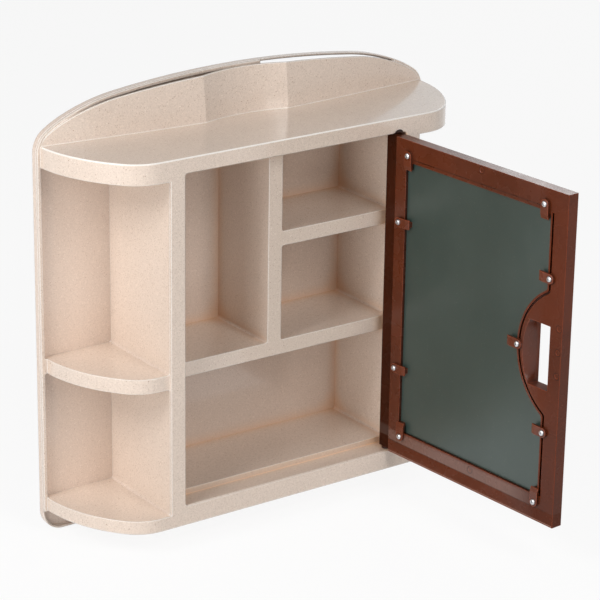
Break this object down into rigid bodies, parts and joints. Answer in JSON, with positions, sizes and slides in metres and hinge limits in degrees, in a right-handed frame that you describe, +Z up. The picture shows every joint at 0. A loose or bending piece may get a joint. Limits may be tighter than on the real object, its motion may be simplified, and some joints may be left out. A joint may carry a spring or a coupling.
{
  "type": "mirrored medicine cabinet",
  "caption": "Wall-hung bathroom medicine cabinet: cream moulded case with round-ended open shelves, arched splash board and a brown framed mirror door.",
  "frame": {"origin": "on the wall plane, on the vertical centre line, level with the underside of the front moulding", "axes": "+X to the right as seen from the room, +Y into the wall, +Z up"},
  "size_m": [0.53, 0.4104, 0.519],
  "materials": {
    "cream_shell": "semi-gloss, finely speckled",
    "cream_panel": "semi-gloss, finely speckled",
    "brown_frame": "semi-gloss",
    "brown_clip": "semi-gloss",
    "brown_bush": "satin",
    "pin_plastic": "satin",
    "catch_plastic": "satin",
    "mirror": "silvered front, green-grey backing paint",
    "screw_steel": "bright zinc"
  },
  "bodies": {
    "cabinet": {"body_shell": "cream_shell", "rear_panel": "cream_panel", "rear_panel_screws": "screw_steel", "hinge_bush_top": "brown_bush", "hinge_bush_bottom": "brown_bush", "door_catch": "catch_plastic"},
    "door": {"door_frame": "brown_frame", "mirror_pane": "mirror", "mirror_clip_1": "brown_clip", "mirror_clip_2": "brown_clip", "mirror_clip_3": "brown_clip", "mirror_clip_4": "brown_clip", "mirror_clip_5": "brown_clip", "mirror_clip_6": "brown_clip", "mirror_clip_7": "brown_clip", "mirror_clip_8": "brown_clip", "mirror_clip_9": "brown_clip", "clip_screws": "screw_steel", "hinge_pin_top": "pin_plastic", "hinge_pin_bottom": "pin_plastic"}
  },
  "joints": [
    {"name": "door_hinge", "type": "hinge", "parent": "cabinet", "child": "door", "pos_m": [0.1395, -0.1226, 0], "axis": [0, 0, 1], "range_deg": [-94.3, 18]}
  ]
}
